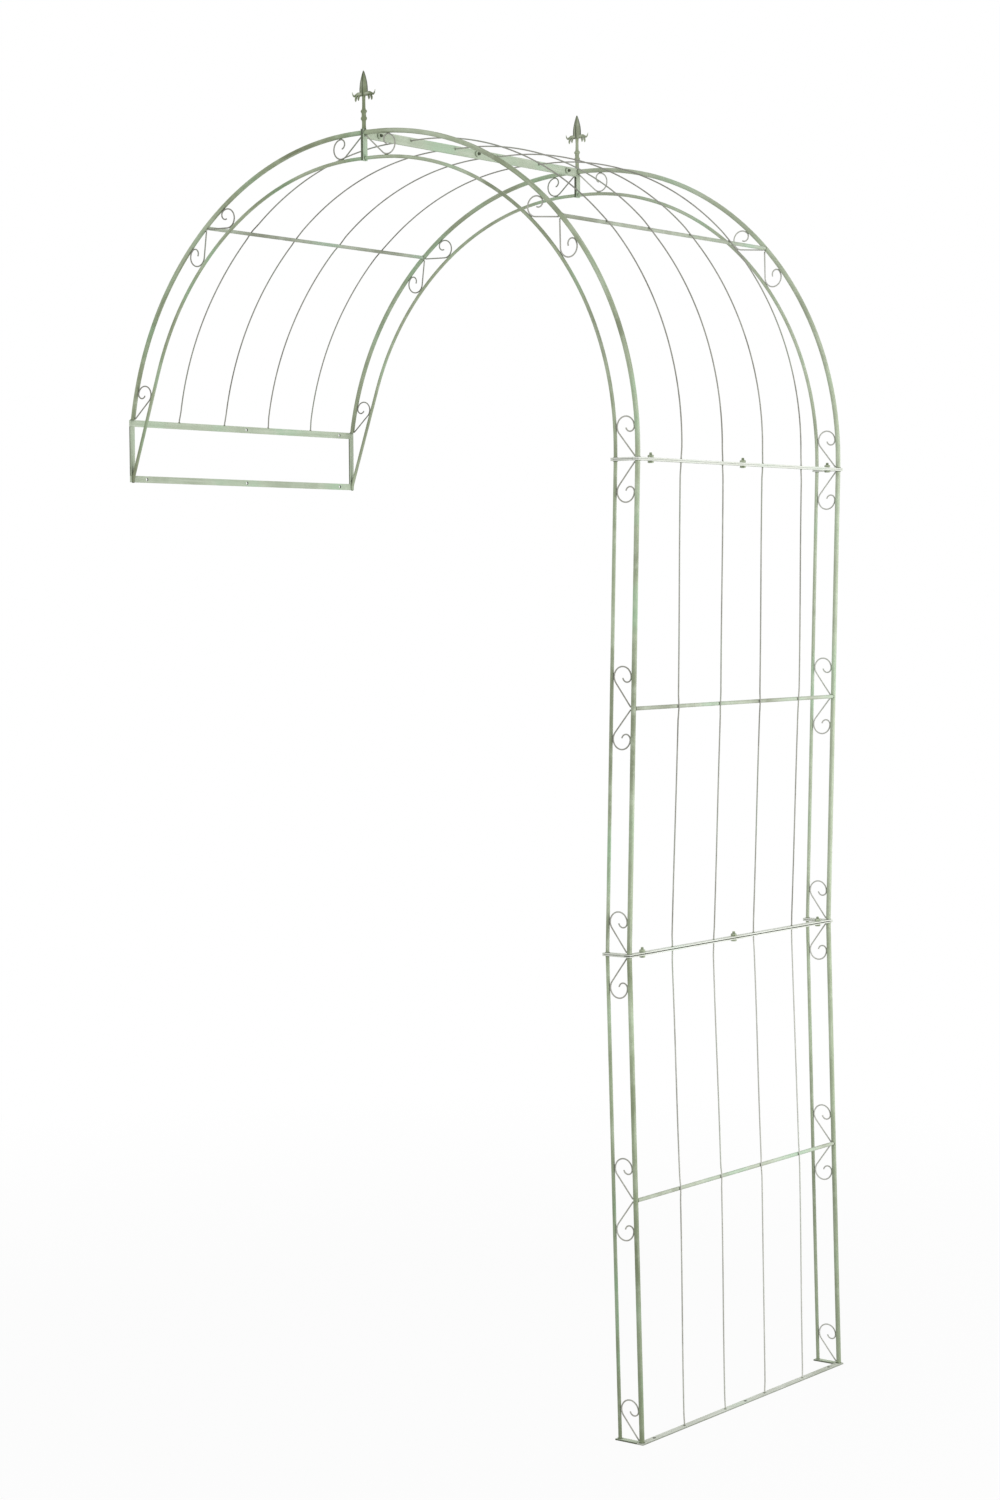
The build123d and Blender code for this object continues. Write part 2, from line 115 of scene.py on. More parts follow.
class Shader:
    """A material's nodes, made and joined by short calls."""

    OPENNESS_SAMPLES = 8

    def __init__(self, name):
        self.material = bpy.data.materials.new(name)
        self.material.use_nodes = True
        self.nodes = self.material.node_tree.nodes
        self.links = self.material.node_tree.links
        self.surface = self.nodes["Principled BSDF"]
        coordinates = self.nodes.new("ShaderNodeTexCoord")
        self.place = coordinates.outputs["Object"]
        self.normal = coordinates.outputs["Normal"]

    def noise(self, scale, detail=3.0, roughness=0.55):
        """Cloudy noise, with its scale in features per metre: one number, or one each along X, Y and Z."""
        texture = self.nodes.new("ShaderNodeTexNoise")
        texture.inputs["Detail"].default_value = detail
        texture.inputs["Roughness"].default_value = roughness
        if isinstance(scale, tuple):
            mapping = self.nodes.new("ShaderNodeMapping")
            mapping.inputs["Scale"].default_value = scale
            texture.inputs["Scale"].default_value = 1.0
            self.links.new(self.place, mapping.inputs["Vector"])
            self.links.new(mapping.outputs["Vector"], texture.inputs["Vector"])
        else:
            texture.inputs["Scale"].default_value = scale
            self.links.new(self.place, texture.inputs["Vector"])
        return texture.outputs[0]

    def facing(self, axis):
        """A value that is 1 on a face that looks along an axis, and 0 on one that looks across it."""
        split = self.nodes.new("ShaderNodeSeparateXYZ")
        size = self.nodes.new("ShaderNodeMath")
        size.operation = "ABSOLUTE"
        self.links.new(self.normal, split.inputs[0])
        self.links.new(split.outputs[axis], size.inputs[0])
        return size.outputs[0]

    def along(self, axis):
        """The place along an axis of the part's frame, given by its letter."""
        split = self.nodes.new("ShaderNodeSeparateXYZ")
        self.links.new(self.place, split.inputs[0])
        return split.outputs[axis]

    def span(self, value, low, high, to_low=0.0, to_high=1.0):
        """Stretch a value from one range to another, held inside it."""
        rule = self.nodes.new("ShaderNodeMapRange")
        rule.inputs["From Min"].default_value = low
        rule.inputs["From Max"].default_value = high
        rule.inputs["To Min"].default_value = to_low
        rule.inputs["To Max"].default_value = to_high
        self.links.new(value, rule.inputs["Value"])
        return rule.outputs["Result"]

    def mix(self, factor, first, second):
        """Mix two colours, each a socket or a linear value, by a factor socket."""
        node = self.nodes.new("ShaderNodeMix")
        node.data_type = "RGBA"
        factor_in, first_in, second_in = node.inputs[0], node.inputs[6], node.inputs[7]
        self.links.new(factor, factor_in)
        for colour, socket in ((first, first_in), (second, second_in)):
            if isinstance(colour, tuple):
                socket.default_value = colour
            else:
                self.links.new(colour, socket)
        return node.outputs[2]

    def lay(self, under, over, value, layer, strength=1.0):
        """Lay a colour over another.

        A layer is the value where the colour starts to show, the value where it is full, and its share there.
        """
        start, full, share = layer
        return self.mix(self.span(value, start, full, 0.0, share * strength), under, over)

    def openness(self, reach, inside=False):
        """A value that is 1 in the open and falls in holes and corners narrower than the reach.

        From the inside it falls at edges that stand out instead.
        """
        node = self.nodes.new("ShaderNodeAmbientOcclusion")
        node.samples = self.OPENNESS_SAMPLES
        node.inside = inside
        node.inputs["Distance"].default_value = reach
        return node.outputs["AO"]

    def bump(self, height, depth, strength, under=None):
        """Relief from a height socket, over any relief under it."""
        node = self.nodes.new("ShaderNodeBump")
        node.inputs["Strength"].default_value = strength
        node.inputs["Distance"].default_value = depth
        self.links.new(height, node.inputs["Height"])
        if under:
            self.links.new(under, node.inputs["Normal"])
        return node.outputs["Normal"]

    def finish(self, colour, roughness, relief):
        """Join the sockets to the surface."""
        self.links.new(colour, self.surface.inputs["Base Color"])
        self.links.new(roughness, self.surface.inputs["Roughness"])
        self.links.new(relief, self.surface.inputs["Normal"])
        return self.material


# Patterns in the paint, in features per metre
PATCHES = 6.0
BLOTCHES = 34.0
SPECKS = 420.0
FLECKS = 620.0
TUBE_BRUSH = (8.0, 230.0, 8.0)  # streaks along the tubes, which all lie in XZ planes
BAR_BRUSH = (190.0, 5.0, 190.0)  # streaks along Y, the way the long bars run

# Layers of the paint as Shader.lay takes them, from the first one laid to the last
BODY_LAYER = (0.36, 0.50, 1.0)
LIGHT_LAYER = (0.52, 0.66, 1.0)
CHALK_LAYER = (0.50, 0.72, 0.6)
STAIN_LAYER = (0.44, 0.28, 0.5)
SPECK_LAYER = (0.58, 0.70, 0.4)
FLECK_LAYER = (0.64, 0.72, 0.45)
DARK_MARK_LAYER = (0.47, 0.33, 1.0)
PALE_MARK_LAYER = (0.53, 0.67, 1.0)
BACK_LIGHT_LAYER = (-HALF_DEPTH, HALF_DEPTH, 1.0)  # painted light, chalkier from the front frame to the back frame
LOW_DARKENING_LAYER = (GROUND + 0.68, GROUND + 0.40, 1.0)  # darker near the ground, by height
SIDE_SHADE_LAYER = (0.5, 0.9, 1.0)
RUB_LAYER = (0.45, 0.2, 0.8)
# painted shade in hollows and corners, on plain paint and on cast metal
HOLLOW_SHADE_LAYER = (0.75, 0.3, 0.85)
CAST_HOLLOW_SHADE_LAYER = (0.96, 0.6, 0.85)
LOW_DARKENING = srgb(104, 114, 88)
# colour of the painted shade on faces that look along an axis
SIDE_SHADE = srgb(86, 94, 72)
# dark of the real flecks, and of the painted shade in hollows and corners
GRIME_AND_SHADE = srgb(74, 80, 58)
RUB_REACH = 2 * MM
HOLLOW_SHADE_REACH = 8 * MM

# Gloss and relief of the paint
PAINT_SPECULAR = 0.4
GLOSS_RANGE = (0.3, 0.7)  # of a pattern, over which the roughness goes from its first value to its second
PAINT_ROUGHNESS = (0.66, 0.46)
SPECK_DEPTH = 0.25 * MM
SPECK_RELIEF = 0.35
BLOTCH_DEPTH = 0.8 * MM
BLOTCH_RELIEF = 0.30


def antique_paint(
    name, shade, body, light, chalk, grain=1.0, blotched=1.0, brushed=0.0, brush=TUBE_BRUSH, side_shade=0.0,
    side_shade_axis="Y", back_light=0.0, darkened_low=0.0, cast=False
):
    """Matt paint with an uneven wash: patches of three greens, chalky rubs, specks, and painted shade in its
    hollows.

    shade, body, light and chalk are colours of 0 to 255. grain, blotched, brushed and side_shade are the
    strengths of the relief, of the blotches, of brush marks, and of painted shade on faces that look along an
    axis. back_light is the painted light that makes the back frame chalkier, and darkened_low how much darker
    the paint is near the ground. Cast metal has rubbed edges, and painted shade even in its shallow hollows.
    """
    shade, body, light, chalk = (srgb(*tone) for tone in (shade, body, light, chalk))
    shader = Shader(name)
    patches = shader.noise(PATCHES, detail=2.0)
    blotches = shader.noise(BLOTCHES, detail=4.0, roughness=0.6)
    specks = shader.noise(SPECKS, detail=3.0, roughness=0.7)
    flecks = shader.noise(FLECKS, detail=2.0)
    colour = shader.lay(shade, body, patches, BODY_LAYER)
    colour = shader.lay(colour, light, patches, LIGHT_LAYER)
    colour = shader.lay(colour, chalk, blotches, CHALK_LAYER, blotched)
    colour = shader.lay(colour, shade, blotches, STAIN_LAYER, blotched)
    colour = shader.lay(colour, shade, specks, SPECK_LAYER)
    colour = shader.lay(colour, GRIME_AND_SHADE, flecks, FLECK_LAYER)
    if brushed:
        marks = shader.noise(brush, detail=2.0)
        colour = shader.lay(colour, shade, marks, DARK_MARK_LAYER, brushed)
        colour = shader.lay(colour, chalk, marks, PALE_MARK_LAYER, brushed)
    # painted light: the back frame paler than the front
    if back_light:
        colour = shader.lay(colour, chalk, shader.along("Y"), BACK_LIGHT_LAYER, back_light)
    # darker towards the ground, by height
    if darkened_low:
        colour = shader.lay(colour, LOW_DARKENING, shader.along("Z"), LOW_DARKENING_LAYER, darkened_low)
    # painted shade on the faces that look along an axis
    if side_shade:
        colour = shader.lay(colour, SIDE_SHADE, shader.facing(side_shade_axis), SIDE_SHADE_LAYER, side_shade)
    if cast:
        colour = shader.lay(colour, chalk, shader.openness(RUB_REACH, inside=True), RUB_LAYER)
    # painted shade: darker where hollows and corners close a point in
    hollow_shade_layer = CAST_HOLLOW_SHADE_LAYER if cast else HOLLOW_SHADE_LAYER
    colour = shader.lay(colour, GRIME_AND_SHADE, shader.openness(HOLLOW_SHADE_REACH), hollow_shade_layer)
    roughness = shader.span(blotches, *GLOSS_RANGE, *PAINT_ROUGHNESS)
    relief = shader.bump(specks, SPECK_DEPTH, SPECK_RELIEF * grain)
    relief = shader.bump(blotches, BLOTCH_DEPTH, BLOTCH_RELIEF * grain, relief)
    shader.surface.inputs["Specular IOR Level"].default_value = PAINT_SPECULAR
    return shader.finish(colour, roughness, relief)


# Zinc
ZINC_WASHES = 160.0
ZINC_SPECKS = 900.0
ZINC_WASHED = srgb(136, 148, 120)
ZINC_BARE = srgb(184, 194, 168)
ZINC_SPECK = srgb(90, 94, 78)
ZINC_BARE_LAYER = (0.40, 0.62, 1.0)
ZINC_SPECK_LAYER = (0.58, 0.74, 0.5)
ZINC_ROUGHNESS = (0.55, 0.36)
ZINC_METALLIC = 0.35
ZINC_SPECK_DEPTH = 0.12 * MM
ZINC_RELIEF = 0.4


def washed_zinc():
    """Dull zinc plate under a thin green wash, for bolts and nuts."""
    shader = Shader("washed_zinc")
    wash = shader.noise(ZINC_WASHES, detail=4.0, roughness=0.6)
    specks = shader.noise(ZINC_SPECKS, detail=2.0)
    colour = shader.lay(ZINC_WASHED, ZINC_BARE, wash, ZINC_BARE_LAYER)
    colour = shader.lay(colour, ZINC_SPECK, specks, ZINC_SPECK_LAYER)
    roughness = shader.span(wash, *GLOSS_RANGE, *ZINC_ROUGHNESS)
    shader.surface.inputs["Metallic"].default_value = ZINC_METALLIC
    return shader.finish(colour, roughness, shader.bump(specks, ZINC_SPECK_DEPTH, ZINC_RELIEF))


def seen_rays(tree):
    """A socket that is 1 for what the camera sees, straight or in a reflection or through glass."""
    path = tree.nodes.new("ShaderNodeLightPath")
    total = path.outputs["Is Camera Ray"]
    for ray in ("Is Glossy Ray", "Is Transmission Ray"):
        either = tree.nodes.new("ShaderNodeMath")
        either.operation = "MAXIMUM"
        tree.links.new(total, either.inputs[0])
        tree.links.new(path.outputs[ray], either.inputs[1])
        total = either.outputs[0]
    return total


def studio_floor():
    """Pale floor that turns all white away from the object, with the object's shadow left faintly on it."""
    shader = Shader("studio_floor")
    shader.surface.inputs["Base Color"].default_value = (FLOOR_TONE, FLOOR_TONE, FLOOR_TONE, 1.0)
    shader.surface.inputs["Roughness"].default_value = FLOOR_ROUGHNESS
    shader.surface.inputs["Specular IOR Level"].default_value = 0.0
    white = shader.nodes.new("ShaderNodeEmission")
    distance = shader.nodes.new("ShaderNodeVectorMath")
    distance.operation = "LENGTH"
    shader.links.new(shader.place, distance.inputs[0])
    away = shader.span(distance.outputs["Value"], FLOOR_WHITE_FROM, FLOOR_WHITE_BY, FLOOR_WHITE_SHARE, 1.0)
    share = shader.nodes.new("ShaderNodeMath")
    share.operation = "MULTIPLY"
    shader.links.new(seen_rays(shader.material.node_tree), share.inputs[0])
    shader.links.new(away, share.inputs[1])
    blend = shader.nodes.new("ShaderNodeMixShader")
    shader.links.new(share.outputs[0], blend.inputs[0])
    shader.links.new(shader.surface.outputs[0], blend.inputs[1])
    shader.links.new(white.outputs[0], blend.inputs[2])
    shader.links.new(blend.outputs[0], shader.nodes["Material Output"].inputs["Surface"])
    return shader.material


# Finishes
tube_paint = antique_paint(
    "tube_paint", (130, 138, 108), (160, 172, 140), (158, 190, 152), (194, 206, 180),
    brushed=0.55, back_light=0.25
)
leg_tube_paint = antique_paint(
    "leg_tube_paint", (145, 155, 127), (174, 187, 157), (169, 202, 166), (205, 216, 193),
    brushed=0.55, back_light=0.35
)
lower_tube_paint = antique_paint(
    "lower_tube_paint", (140, 152, 120), (170, 185, 152), (162, 199, 158), (202, 214, 189),
    brushed=0.5, back_light=0.25, darkened_low=0.38
)
BAR_TONES = (184, 196, 172), (201, 214, 190), (190, 216, 186), (222, 231, 212)
bar_paint = antique_paint("bar_paint", *BAR_TONES, blotched=0.5, brushed=0.4, brush=BAR_BRUSH)
# the posts' and uprights' faces along Y carry painted shade
post_paint = antique_paint("post_paint", *BAR_TONES, blotched=0.5, side_shade=0.95)
# a paler copy of the bar paint for the leg's bolted bars; part of its paleness is painted light
joint_paint_and_light = antique_paint(
    "joint_paint_and_light", (216, 221, 208), (232, 236, 226), (226, 236, 222), (238, 241, 234),
    blotched=0.5, brushed=0.3, brush=BAR_BRUSH
)
crossbar_paint = antique_paint(
    "crossbar_paint", (152, 158, 138), (187, 196, 176), (182, 206, 181), (212, 221, 204),
    blotched=0.8, brushed=0.3, brush=BAR_BRUSH
)
# the base's faces along X carry painted shade
base_paint = antique_paint(
    "base_paint", (190, 195, 180), (213, 218, 206), (213, 224, 208), (234, 238, 228),
    blotched=0.7, brushed=0.4, brush=BAR_BRUSH, side_shade=0.42, side_shade_axis="X"
)
wire_paint = antique_paint(
    "wire_paint", (130, 130, 120), (154, 154, 144), (154, 160, 146), (178, 180, 170), grain=0.7
)
leg_wire_paint = antique_paint(
    "leg_wire_paint", (142, 142, 132), (166, 166, 156), (166, 172, 158), (188, 190, 180), grain=0.7
)
pale_wire_paint = antique_paint(
    "pale_wire_paint", (160, 160, 150), (182, 182, 172), (182, 188, 174), (214, 216, 208),
    grain=0.7, back_light=0.6
)
finial_paint = antique_paint(
    "finial_paint", (98, 106, 80), (138, 150, 115), (150, 168, 130), (200, 208, 184),
    grain=1.6, back_light=0.4, cast=True
)
weld_paint = antique_paint(
    "weld_paint", (84, 90, 70), (110, 120, 96), (124, 140, 114), (146, 154, 130), grain=1.8
)
# dark paint: the crown bolts' own colour, and painted shade on the finials' beads
dark_paint_and_rim_shade = antique_paint(
    "dark_paint_and_rim_shade", (60, 66, 48), (76, 84, 62), (84, 94, 70), (104, 112, 88), grain=1.6
)
# near-black paint for the walls of holes: bare steel, darkened further as painted shade
hole_shade_paint = antique_paint(
    "hole_shade_paint", (34, 38, 28), (44, 49, 36), (48, 54, 40), (60, 66, 50), grain=1.6
)
fastener_finish = washed_zinc()
FINISHES = {
    "tube_paint": tube_paint,
    "bar_paint": bar_paint,
    "wire_paint": wire_paint,
    "finial_paint": finial_paint,
    "fastener_finish": fastener_finish,
}


def finish_of(name, slot):
    """The finish of a slot on a node or section: tubes and wires are paler on the leg than by the wall."""
    lower = name.startswith("lower_leg")
    if slot == "tube_paint" and name.startswith(LEG_SECTIONS):
        return lower_tube_paint if lower else leg_tube_paint
    if slot == "wire_paint" and name.startswith(LEG_SECTIONS):
        return pale_wire_paint if lower or name.endswith("_scrolls") else leg_wire_paint
    return crossbar_paint if name.endswith("_crossbar") else FINISHES[slot]


def dress_frame():
    """Give every node of the frame the finish of its slot."""
    for part in frame["record"]["subparts"]:
        node = nodes[part["node"]]
        finish = finish_of(part["node"], part["material_slot"])
        if not node.material_slots:
            node.data.materials.append(finish)
        for slot in node.material_slots:
            slot.material = finish


# Meshes
SHARP_ANGLE = 40.0  # degrees; flatter edges are shaded smooth
JOIN_REACH = 0.001 * MM  # corners this close are one
UPRIGHT = Matrix.Identity(3)  # axes of a body that stands along Z


def new_piece(name, bm, material, replaced=(), sharp_angle=SHARP_ANGLE):
    """Turn a bmesh into a piece that rides on the arch, smooth but for edges sharper than an angle."""
    bmesh.ops.recalc_face_normals(bm, faces=bm.faces)
    mesh = bpy.data.meshes.new(name)
    bm.to_mesh(mesh)
    bm.free()
    mesh.polygons.foreach_set("use_smooth", [True] * len(mesh.polygons))
    mesh.set_sharp_from_angle(angle=radians(sharp_angle))
    mesh.materials.append(material)
    piece = bpy.data.objects.new(name, mesh)
    bpy.context.scene.collection.objects.link(piece)
    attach(piece, "root")
    if replaced:
        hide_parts(*replaced)
    return piece


def joined_mesh(node_name):
    """A node's mesh as a bmesh with its split corners joined."""
    bm = bmesh.new()
    bm.from_mesh(nodes[node_name].data)
    bmesh.ops.remove_doubles(bm, verts=bm.verts, dist=JOIN_REACH)
    return bm


def solids(node_name):
    """The solids of a node, each as an array of its corners, in order of their middles."""
    bm = joined_mesh(node_name)
    left = set(bm.verts)
    found = []
    while left:
        stack = [left.pop()]
        group = []
        while stack:
            vert = stack.pop()
            group.append(tuple(vert.co))
            for edge in vert.link_edges:
                other = edge.other_vert(vert)
                if other in left:
                    left.remove(other)
                    stack.append(other)
        found.append(np.array(group))
    bm.free()
    return sorted(found, key=lambda corners: tuple(corners.mean(0).round(4)))


def add_ring(bm, place, axes, radii, height):
    """A ring of corners about a body's own Z axis, with a radius for each."""
    ring = []
    for k, radius in enumerate(radii):
        angle = tau * k / len(radii)
        offset = Vector((radius * cos(angle), radius * sin(angle), height))
        ring.append(bm.verts.new(place + axes @ offset))
    return ring


def join_rings(bm, rings, closed=True):
    """Faces from each ring of corners to the next, and over the first and the last ring to close them."""
    for first, second in zip(rings, rings[1:]):
        for k in range(len(first)):
            n = (k + 1) % len(first)
            bm.faces.new((first[k], first[n], second[n], second[k]))
    if closed:
        bm.faces.new(rings[0][::-1])
        bm.faces.new(rings[-1])


def add_tube(bm, points, radii, sides, flat=1.0):
    """A round bar along points with a radius at each, closed at both ends. flat squeezes it along Y."""
    rings = []
    across = None
    for i, point in enumerate(points):
        ahead = (points[min(i + 1, len(points) - 1)] - points[max(i - 1, 0)]).normalized()
        if across is None:
            across = ahead.orthogonal()
        across = (across - ahead * across.dot(ahead)).normalized()
        third = ahead.cross(across)
        ring = []
        for k in range(sides):
            angle = tau * k / sides
            offset = (across * cos(angle) + third * sin(angle)) * radii[i]
            offset.y *= flat
            ring.append(bm.verts.new(point + offset))
        rings.append(ring)
    join_rings(bm, rings)


def add_turned(bm, place, outline, sides):
    """A body turned about an upright axis, from an outline of radii and heights."""
    rings = [add_ring(bm, place, UPRIGHT, [radius] * sides, height) for radius, height in outline]
    join_rings(bm, rings)


def apply_modifiers(piece):
    """Turn a piece's modifiers into its mesh."""
    graph = bpy.context.evaluated_depsgraph_get()
    mesh = bpy.data.meshes.new_from_object(piece.evaluated_get(graph))
    piece.modifiers.clear()
    old = piece.data
    piece.data = mesh
    bpy.data.meshes.remove(old)


# Flat bars
BAR_EDGE = 0.6 * MM  # rounding along their edges
HOLE_EDGE = 0.5 * MM  # and round their holes, worn bare and dark with painted shade
HOLE_FACET = 2 * MM  # edges shorter than this are on the rim of a hole
HOLE_DEPTH = 4 * MM  # and no edge of a hole's wall is longer than this
HOLE_WALL = 1  # place of the holes' dark paint, painted shade over bare steel, among a bar's materials
SAME_PAINT = -1  # a rounded edge takes the paint of the faces beside it
FLAT_ANGLE = 1.0  # degrees; faces that meet at less than this are made one
EDGE_ANGLE = 50.0  # degrees; edges sharper than this are rounded off
EDGE_SEGMENTS = 3
EDGE_PROFILE = 0.5  # of a circle
SEAM_REACH = 0.01 * MM  # corners this close to a bar's bolted face are on it
SEAMS = {
    # start of a bar's name: the way its bolted face stands back from the other bar, and how far
    "wall_arch_crown": ((-1, 0, 0), 0.6 * MM),
    "leg_arch_crown": ((1, 0, 0), 0.6 * MM),
    "leg_arch_foot": ((0, 0, 1), 0.1 * MM),
    "upper_leg_top": ((0, 0, -1), 0.1 * MM),
    "upper_leg_bottom": ((0, 0, 1), 0.75 * MM),
    "lower_leg_top": ((0, 0, -1), 0.75 * MM),
}
RETURN_SEAM = 0.25 * MM  # the same on the returns
NARROW_BARS = ("_posts", "_uprights")


def open_seam(bm, name):
    """Set back the face where a bar is bolted to another."""
    for way, distance in [seam for start, seam in SEAMS.items() if name.startswith(start)]:
        back = Vector(way)
        step = back * (RETURN_SEAM if name.endswith("_returns") else distance)
        lowest = min(vert.co.dot(back) for vert in bm.verts)
        for vert in bm.verts:
            if vert.co.dot(back) < lowest + SEAM_REACH:
                vert.co += step


def bar_finish(name):
    """The finish of a flat bar: palest, partly as painted light, where the leg's sections are bolted
    together.
    """
    if name.endswith(NARROW_BARS):
        return post_paint
    if name.startswith("lower_leg_bottom"):
        return base_paint if name.endswith("_bar") else post_paint
    bolted_on_leg = name.startswith(tuple(SEAMS)) and "crown" not in name
    return joint_paint_and_light if bolted_on_leg else bar_paint


def shade_holes(bm):
    """Give the walls of a bar's holes their dark paint: bare steel, darkened further as painted shade.

    A facet of such a wall has four edges: two on the hole's rims, and two as long as the bar is thick.
    """
    for face in bm.faces:
        lengths = [edge.calc_length() for edge in face.edges]
        on_rims = sum(length < HOLE_FACET for length in lengths)
        if len(lengths) == 4 and on_rims == 2 and max(lengths) < HOLE_DEPTH:
            face.material_index = HOLE_WALL


def round_edges(bm, rounding, shortest, longest, paint):
    """Round off a bar's sharp edges of some lengths."""
    sharp = [e for e in bm.edges if e.is_manifold and e.calc_face_angle() > radians(EDGE_ANGLE)]
    chosen = [e for e in sharp if shortest < e.calc_length() <= longest]
    bmesh.ops.bevel(
        bm, geom=chosen, offset=rounding, segments=EDGE_SEGMENTS, profile=EDGE_PROFILE, affect="EDGES",
        clamp_overlap=True, material=paint
    )


def round_bars():
    """Replace each flat bar by the same bar with its edges rounded off."""
    for name in sorted(nodes):
        if not name.endswith(BAR_ENDINGS):
            continue
        bm = joined_mesh(name)
        bmesh.ops.dissolve_limit(bm, angle_limit=radians(FLAT_ANGLE), verts=bm.verts, edges=bm.edges)
        open_seam(bm, name)
        shade_holes(bm)
        round_edges(bm, HOLE_EDGE, 0, HOLE_FACET, HOLE_WALL)
        round_edges(bm, BAR_EDGE, HOLE_FACET, inf, SAME_PAINT)
        piece = new_piece(f"{name}_rounded", bm, bar_finish(name), [name])
        piece.data.materials.append(hole_shade_paint)


# Trellis wires, which run a little to one side of their welds and bend back to them
WIRE_SIDES = 10
WIRE_STEP = 6 * MM  # between the rings of a wire
WIRE_SHIFT = (0.8 * MM, 2.4 * MM)  # least and greatest distance to one side
WIRE_KINK = 26 * MM  # length over which a wire bends back
WIRE_RIPPLE = 0.8 * MM  # smaller bends on top of that
WIRE_END_REACH = 1 * MM  # corners this close to the height of a leg wire's end are at the end
WIRE_BEND_REACH = 4 * MM  # and the same for the bend in its middle


def arc_line(corners):
    """A function from 0 to 1 along the middle of a bent round bar in an XZ plane, and the bar's length."""
    x, y, z = corners[:, 0], corners[:, 1].mean(), corners[:, 2]
    unknowns = np.stack([2 * x, 2 * z, np.ones_like(x)], 1)
    (middle_x, middle_z, rest), *_ = np.linalg.lstsq(unknowns, x * x + z * z, rcond=None)
    radius = (rest + middle_x**2 + middle_z**2) ** 0.5
    angles = np.arctan2(z - middle_z, x - middle_x)
    first, last = angles.max(), angles.min()

    def place(share):
        angle = first + (last - first) * share
        return Vector((middle_x + radius * cos(angle), y, middle_z + radius * sin(angle)))

    return place, radius * (first - last)


def leg_line(corners):
    """The same for a wire of the leg, which is two straight runs from its ends to the bend in the middle."""
    heights = corners[:, 2]
    low, high = heights.min(), heights.max()
    middle = (low + high) / 2
    levels = [(high, WIRE_END_REACH), (middle, WIRE_BEND_REACH), (low, WIRE_END_REACH)]
    start, bend, end = (Vector(corners[abs(heights - z) < reach].mean(0)) for z, reach in levels)

    def place(share):
        if share < 0.5:
            return start.lerp(bend, share * 2)
        return bend.lerp(end, share * 2 - 1)

    return place, high - low


def wires_of(section):
    """For each wire of a section its radius, a function from 0 to 1 along its middle, and its length."""
    line_of = arc_line if section.endswith("arch") else leg_line
    for corners in solids(f"{section}_wires"):
        place, length = line_of(corners)
        yield np.ptp(corners[:, 1]) / 2, place, length


def crossbar_of(section):
    """The middle of a section's crossbar, and its radius."""
    low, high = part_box(f"{section}_crossbar")
    return (low + high) / 2, (high.x - low.x) / 2


def bent_line(place, length, crossbar, draw):
    """Points along a wire that runs to one side, between its ends and its weld to the crossbar."""
    count = ceil(length / WIRE_STEP)
    shares = [i / count for i in range(count + 1)]
    weld = min(shares, key=lambda share: (place(share).xz - crossbar.xz).length)
    runs = [(0.0, weld), (weld, 1.0)]
    shifts = [draw.choice((-1, 1)) * draw.uniform(*WIRE_SHIFT) for _ in runs]
    ripples = [draw.uniform(-WIRE_RIPPLE, WIRE_RIPPLE) for _ in runs]
    points = []
    for share in shares:
        run = 0 if share < weld else 1
        low, high = runs[run]
        along = (share - low) / (high - low)
        from_weld = min(along, 1 - along) * (high - low) * length
        away = min(1.0, from_weld / WIRE_KINK)
        eased = away * away * (3 - 2 * away)
        point = place(share)
        point.y += (shifts[run] + ripples[run] * sin(tau * along)) * eased
        points.append(point)
    return points


def bend_wires(section, draw):
    """Replace a section's wires by slightly bent ones that still meet their welds."""
    bm = bmesh.new()
    crossbar, _ = crossbar_of(section)
    for radius, place, length in wires_of(section):
        points = bent_line(place, length, crossbar, draw)
        add_tube(bm, points, [radius] * len(points), WIRE_SIDES)
    paint = finish_of(section, "wire_paint")
    new_piece(f"{section}_wires_bent", bm, paint, [f"{section}_wires"])


# Welds: lumps of metal where pieces touch, melted into one skin
WELD_REACH = 0.7 * MM  # pieces this close are welded
WELD_SPACING = 1.7 * MM  # between the lumps of a weld
WELD_LUMP = (1.0 * MM, 1.5 * MM)  # least and greatest radius of a lump
WELD_VOXEL = 0.5 * MM
WELD_SEARCH_STEP = 1 * MM  # along a wire, to find its weld
RECENT_WELDS = 400  # a new lump keeps its distance from this many before it
SECTION_BARS = {
    # section: the bars that its tubes and wires are welded to
    "wall_arch": ("wall_upper_bar", "wall_lower_bar", "wall_arch_crown_bar", "wall_arch_crown_posts"),
    "leg_arch": ("leg_arch_crown_bar", "leg_arch_crown_posts", "leg_arch_foot_bar", "leg_arch_foot_returns"),
}
for leg in ("upper_leg", "lower_leg"):
    SECTION_BARS[leg] = [f"{leg}_{end}_{kind}" for end in ("top", "bottom") for kind in ("bar", "returns")]


def surface_tree(node_name):
    """A tree to look up the nearest point on a node's surface."""
    bm = joined_mesh(node_name)
    tree = BVHTree.FromBMesh(bm)
    bm.free()
    return tree


def weld_points(node_name, trees):
    """Spaced points where a node touches any of the surfaces."""
    bm = joined_mesh(node_name)
    points = []
    for vert in bm.verts:
        for tree in trees:
            near = tree.find_nearest(vert.co, WELD_REACH)[0]
            if near is None:
                continue
            point = (vert.co + near) / 2
            if point.x < WELD_LUMP[1]:
                continue  # nothing stands out behind the wall bars
            if all((point - other).length > WELD_SPACING for other in points[-RECENT_WELDS:]):
                points.append(point)
    bm.free()
    return points


def wire_crossings(section):
    """Where a section's wires are welded to its crossbar."""
    crossbar, crossbar_radius = crossbar_of(section)
    beside = Vector((0, WELD_SPACING, 0))
    points = []
    for _, place, length in wires_of(section):
        count = ceil(length / WELD_SEARCH_STEP)
        nearest = min((place(i / count) for i in range(count)), key=lambda p: (p.xz - crossbar.xz).length)
        outward = Vector((nearest.x - crossbar.x, 0, nearest.z - crossbar.z)).normalized()
        contact = Vector((crossbar.x, nearest.y, crossbar.z)) + outward * crossbar_radius
        points += [contact, contact + beside, contact - beside]
    return points


